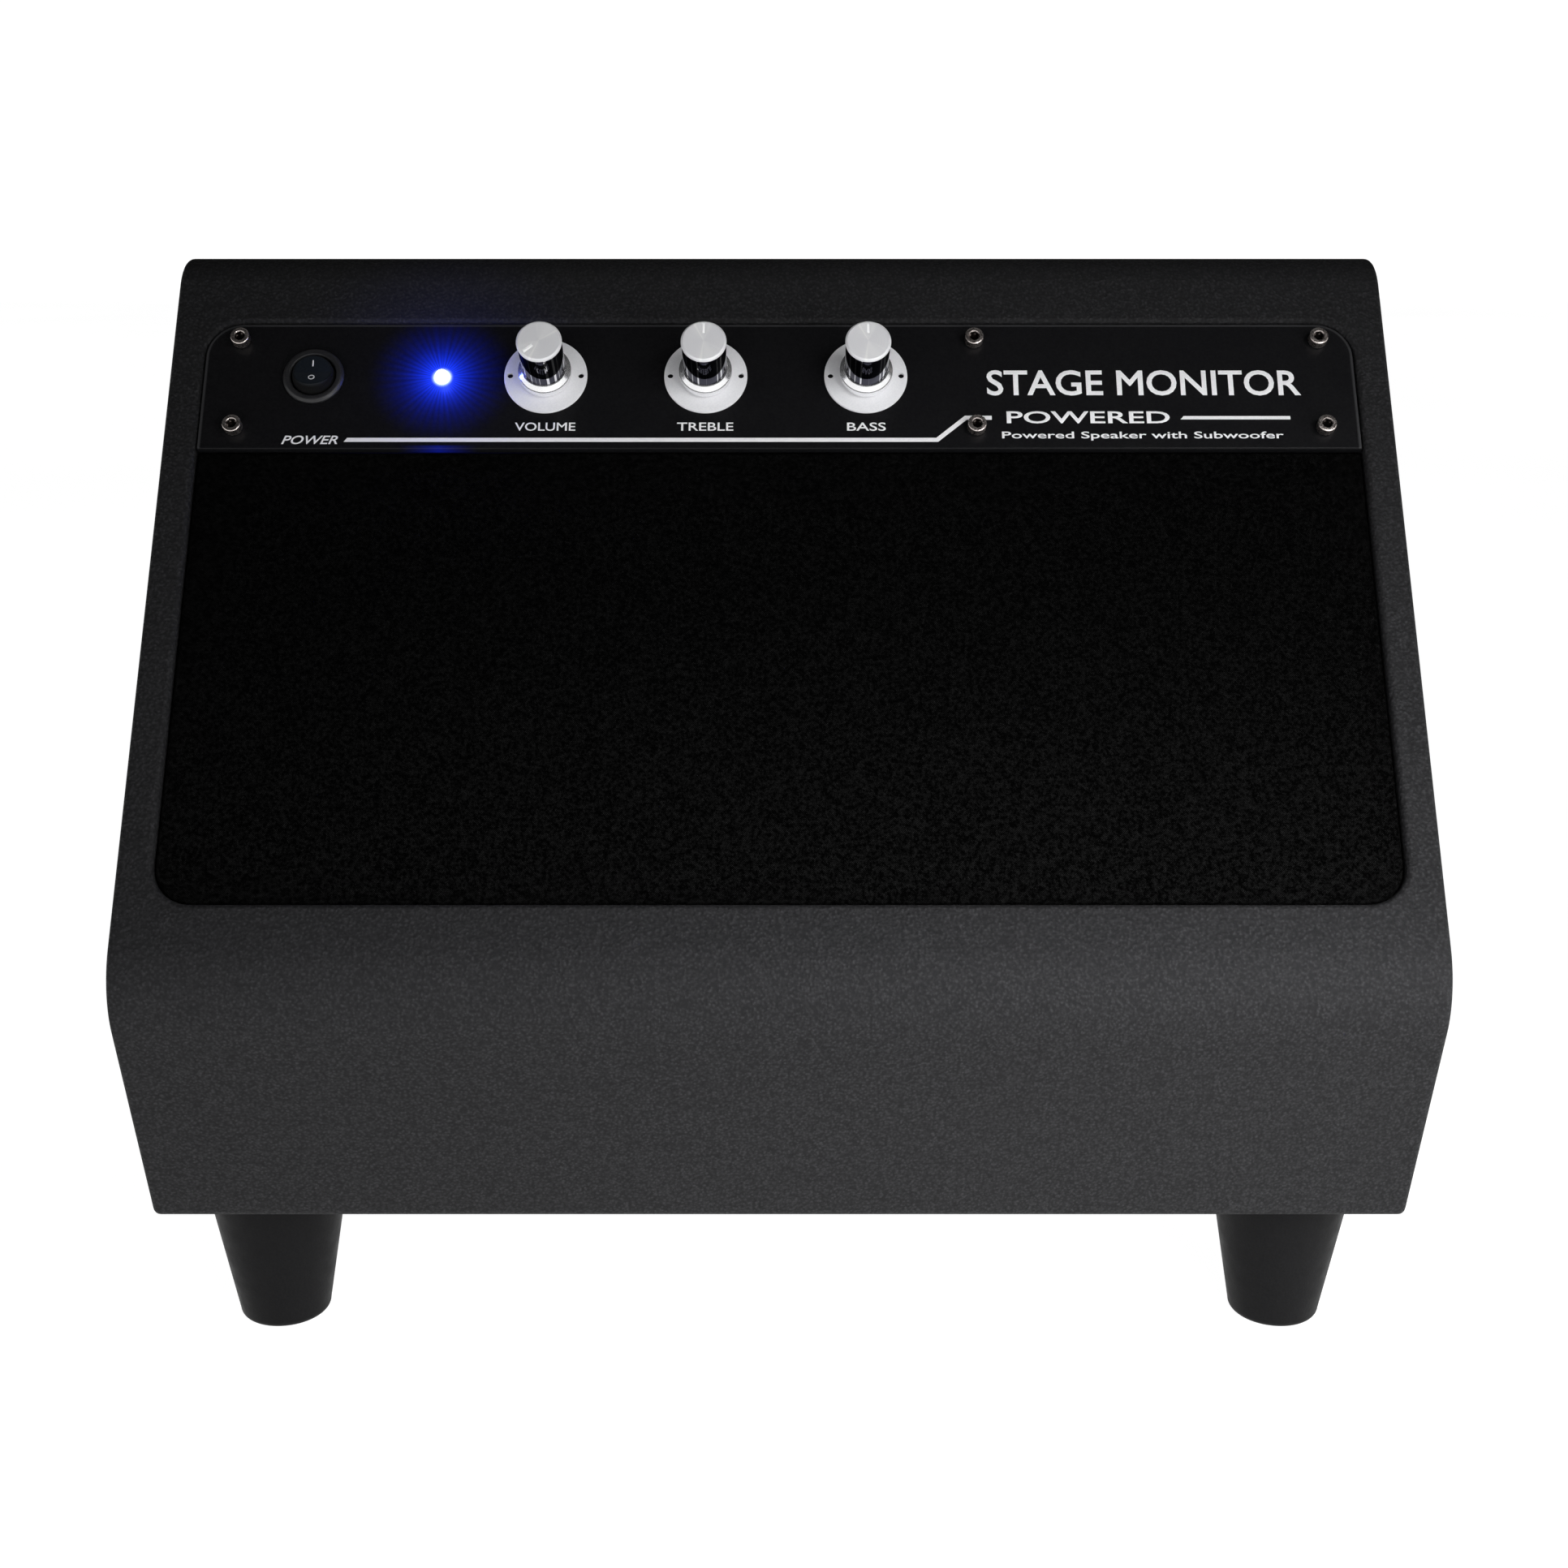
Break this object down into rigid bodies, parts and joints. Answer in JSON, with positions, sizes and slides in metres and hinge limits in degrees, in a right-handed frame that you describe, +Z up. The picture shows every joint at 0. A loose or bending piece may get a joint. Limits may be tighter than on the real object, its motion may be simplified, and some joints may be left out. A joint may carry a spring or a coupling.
{
  "type": "stage monitor wedge",
  "caption": "Wedge-shaped powered floor speaker on tapered legs, with a sloping cloth grille, a control plate with knobs, switch and lamp, and a down-firing subwoofer.",
  "frame": {"origin": "on the floor, in the middle of the object's box seen from above", "axes": "+X to the right seen from the front, -Y is the front with the sloping grille, +Z up"},
  "size_m": [0.46, 0.3, 0.397],
  "materials": {
    "vinyl": "fine pebbled charcoal vinyl covering, satin",
    "fibreboard": "raw medium density fibreboard",
    "leg_plastic": "black moulded plastic, satin",
    "grille_cloth": "stretched black speaker cloth, matt",
    "grille_frame": "black painted board frame",
    "black_plate": "black satin-gloss panel with light printing",
    "steel": "plated steel",
    "switch_plastic": "black moulded plastic",
    "rocker_plastic": "blue-black moulded plastic, glossy",
    "blue_lens": "lit blue lens",
    "scale_silver": "silver satin disc",
    "spun_aluminium": "spun aluminium, fine circular brushing",
    "chrome": "polished chrome",
    "paper_cone": "black treated paper",
    "rubber": "black rubber",
    "magnet": "dark ferrite",
    "black_steel": "black powder coat",
    "circuit_board": "green circuit board",
    "aluminium": "extruded aluminium",
    "copper_winding": "enamelled copper winding"
  },
  "bodies": {
    "cabinet": {"amplifier_board": "circuit_board", "back_panel": "fibreboard", "bass_potentiometer": "steel", "bass_scale_disc": "scale_silver", "bottom_panel": "fibreboard", "control_board": "circuit_board", "control_plate": "black_plate", "front_baffle": "fibreboard", "grille_cloth": "grille_cloth", "grille_frame": "grille_frame", "heatsink": "aluminium", "left_driver_frame": "black_steel", "left_driver_magnet": "magnet", "left_driver_surround": "rubber", "left_input_jack": "steel", "left_side_panel": "fibreboard", "leg_front_left": "leg_plastic", "leg_front_right": "leg_plastic", "leg_rear_left": "leg_plastic", "leg_rear_right": "leg_plastic", "lower_front_panel": "fibreboard", "mains_inlet": "switch_plastic", "plate_screw_1": "steel", "plate_screw_2": "steel", "plate_screw_3": "steel", "plate_screw_4": "steel", "plate_screw_5": "steel", "plate_screw_6": "steel", "power_led": "blue_lens", "power_switch_housing": "switch_plastic", "rear_plate": "black_steel", "right_driver_frame": "black_steel", "right_driver_magnet": "magnet", "right_driver_surround": "rubber", "right_input_jack": "steel", "right_side_panel": "fibreboard", "subwoofer_frame": "black_steel", "subwoofer_guard": "black_steel", "subwoofer_magnet": "magnet", "subwoofer_surround": "rubber", "top_panel": "fibreboard", "transformer": "copper_winding", "treble_potentiometer": "steel", "treble_scale_disc": "scale_silver", "vinyl_covering": "vinyl", "volume_potentiometer": "steel", "volume_scale_disc": "scale_silver"},
    "volume_control": {"volume_shaft": "steel", "volume_knob": "chrome", "volume_knob_cap": "spun_aluminium"},
    "treble_control": {"treble_shaft": "steel", "treble_knob": "chrome", "treble_knob_cap": "spun_aluminium"},
    "bass_control": {"bass_shaft": "steel", "bass_knob": "chrome", "bass_knob_cap": "spun_aluminium"},
    "rocker": {"power_switch_rocker": "rocker_plastic"},
    "left_driver_moving_cone": {"left_driver_cone": "paper_cone"},
    "right_driver_moving_cone": {"right_driver_cone": "paper_cone"},
    "subwoofer_moving_cone": {"subwoofer_cone": "paper_cone"}
  },
  "joints": [
    {"name": "power_switch", "type": "hinge", "parent": "cabinet", "child": "rocker", "pos_m": [-0.1753, -0.0164, 0.35477], "axis": [1, 0, 0], "range_deg": [0, 20]},
    {"name": "volume_turn", "type": "hinge", "parent": "cabinet", "child": "volume_control", "pos_m": [-0.0879, -0.01665, 0.35494], "axis": [0, 0.8192, -0.5736], "range_deg": [-20, 280]},
    {"name": "treble_turn", "type": "hinge", "parent": "cabinet", "child": "treble_control", "pos_m": [-0.0277, -0.01665, 0.35494], "axis": [0, 0.8192, -0.5736], "range_deg": [-150, 150]},
    {"name": "bass_turn", "type": "hinge", "parent": "cabinet", "child": "bass_control", "pos_m": [0.0325, -0.01665, 0.35494], "axis": [0, 0.8192, -0.5736], "range_deg": [-150, 150]},
    {"name": "left_driver_travel", "type": "slide", "parent": "cabinet", "child": "left_driver_moving_cone", "axis": [0, -0.8192, 0.5736], "range_m": [-0.0025, 0.0025], "stiffness_N_per_m": 1500, "deforming": ["left_driver_surround"]},
    {"name": "right_driver_travel", "type": "slide", "parent": "cabinet", "child": "right_driver_moving_cone", "axis": [0, -0.8192, 0.5736], "range_m": [-0.0025, 0.0025], "stiffness_N_per_m": 1500, "deforming": ["right_driver_surround"]},
    {"name": "subwoofer_travel", "type": "slide", "parent": "cabinet", "child": "subwoofer_moving_cone", "axis": [0, 0, -1], "range_m": [-0.005, 0.005], "stiffness_N_per_m": 2000, "deforming": ["subwoofer_surround"]}
  ]
}
